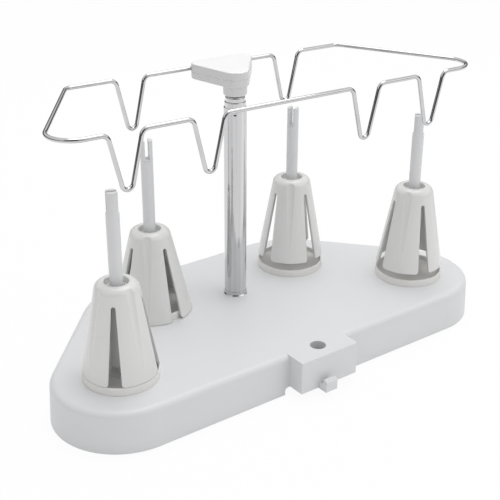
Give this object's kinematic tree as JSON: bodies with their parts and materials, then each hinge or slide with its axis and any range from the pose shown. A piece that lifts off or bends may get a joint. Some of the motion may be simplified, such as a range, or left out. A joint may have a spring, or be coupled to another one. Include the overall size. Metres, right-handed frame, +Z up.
{
  "type": "spool thread rack",
  "caption": "Free-standing rack for thread spools with slotted spool cones on pins, a telescopic pole and a swivelling wire thread guide.",
  "frame": {"origin": "on the resting plane, under the pole's axis", "axes": "+X to the right along the base, +Y to the back, +Z up; the connecting block stands out towards -Y"},
  "size_m": [0.348, 0.1826, 0.199],
  "materials": {
    "body": "satin off-white moulded plastic",
    "cone": "satin warm white moulded plastic",
    "tray": "matte beige-white plastic",
    "grip": "matte soft plastic",
    "underside": "matte light grey plastic",
    "grey": "matte grey plastic",
    "chrome": "bright chrome plate",
    "zinc": "zinc-plated steel",
    "rubber": "matte black rubber"
  },
  "bodies": {
    "base": {"base_shell": "body", "connecting_block": "body", "base_cover": "underside", "cover_screws": "zinc", "rubber_feet": "rubber", "coupling_hook": "body", "hook_screw": "zinc", "pin_screws": "zinc", "pin_washers": "zinc", "pole_outer_tube": "chrome", "pole_foot_ring": "chrome", "pole_plug": "grey", "pole_screw": "zinc", "pole_washer": "zinc", "front_left_tray": "tray", "front_right_tray": "tray", "back_left_tray": "tray", "back_right_tray": "tray", "front_left_pin": "body", "front_right_pin": "body", "back_left_pin": "body", "back_right_pin": "body"},
    "pole_middle": {"pole_middle_tube": "chrome", "middle_tube_sleeve": "grey"},
    "pole_inner": {"pole_inner_tube": "chrome", "inner_tube_sleeve": "grey", "swivel_plug": "grey", "pivot_screw": "zinc"},
    "guide": {"head_body": "body", "head_cap": "body", "head_screws": "zinc", "wire_guide": "chrome"},
    "front_left_carrier": {"front_left_grip": "grip"},
    "front_left_spool_cone": {"front_left_cone": "cone"},
    "front_right_carrier": {"front_right_grip": "grip"},
    "front_right_spool_cone": {"front_right_cone": "cone"},
    "back_left_carrier": {"back_left_grip": "grip"},
    "back_left_spool_cone": {"back_left_cone": "cone"},
    "back_right_carrier": {"back_right_grip": "grip"},
    "back_right_spool_cone": {"back_right_cone": "cone"}
  },
  "joints": [
    {"name": "pole_middle_slide", "type": "slide", "parent": "base", "child": "pole_middle", "axis": [0, 0, 1], "range_m": [0, 0.12]},
    {"name": "pole_inner_slide", "type": "slide", "parent": "pole_middle", "child": "pole_inner", "axis": [0, 0, 1], "range_m": [0, 0.12]},
    {"name": "guide_swivel", "type": "hinge", "parent": "pole_inner", "child": "guide", "pos_m": [0, 0, 0.185], "axis": [0, 0, 1], "continuous": true},
    {"name": "front_left_cone_height", "type": "slide", "parent": "base", "child": "front_left_carrier", "axis": [0, 0, 1], "range_m": [0, 0.05]},
    {"name": "front_left_cone_turn", "type": "hinge", "parent": "front_left_carrier", "child": "front_left_spool_cone", "pos_m": [-0.127, -0.052, 0.08], "axis": [0, 0, 1], "continuous": true},
    {"name": "front_right_cone_height", "type": "slide", "parent": "base", "child": "front_right_carrier", "axis": [0, 0, 1], "range_m": [-0.0047, 0.0453]},
    {"name": "front_right_cone_turn", "type": "hinge", "parent": "front_right_carrier", "child": "front_right_spool_cone", "pos_m": [0.127, -0.052, 0.08], "axis": [0, 0, 1], "continuous": true},
    {"name": "back_left_cone_height", "type": "slide", "parent": "base", "child": "back_left_carrier", "axis": [0, 0, 1], "range_m": [0, 0.055]},
    {"name": "back_left_cone_turn", "type": "hinge", "parent": "back_left_carrier", "child": "back_left_spool_cone", "pos_m": [-0.0631, 0.0149, 0.08], "axis": [0, 0, 1], "continuous": true},
    {"name": "back_right_cone_height", "type": "slide", "parent": "base", "child": "back_right_carrier", "axis": [0, 0, 1], "range_m": [-0.0053, 0.0447]},
    {"name": "back_right_cone_turn", "type": "hinge", "parent": "back_right_carrier", "child": "back_right_spool_cone", "pos_m": [0.0631, 0.0149, 0.08], "axis": [0, 0, 1], "continuous": true}
  ]
}
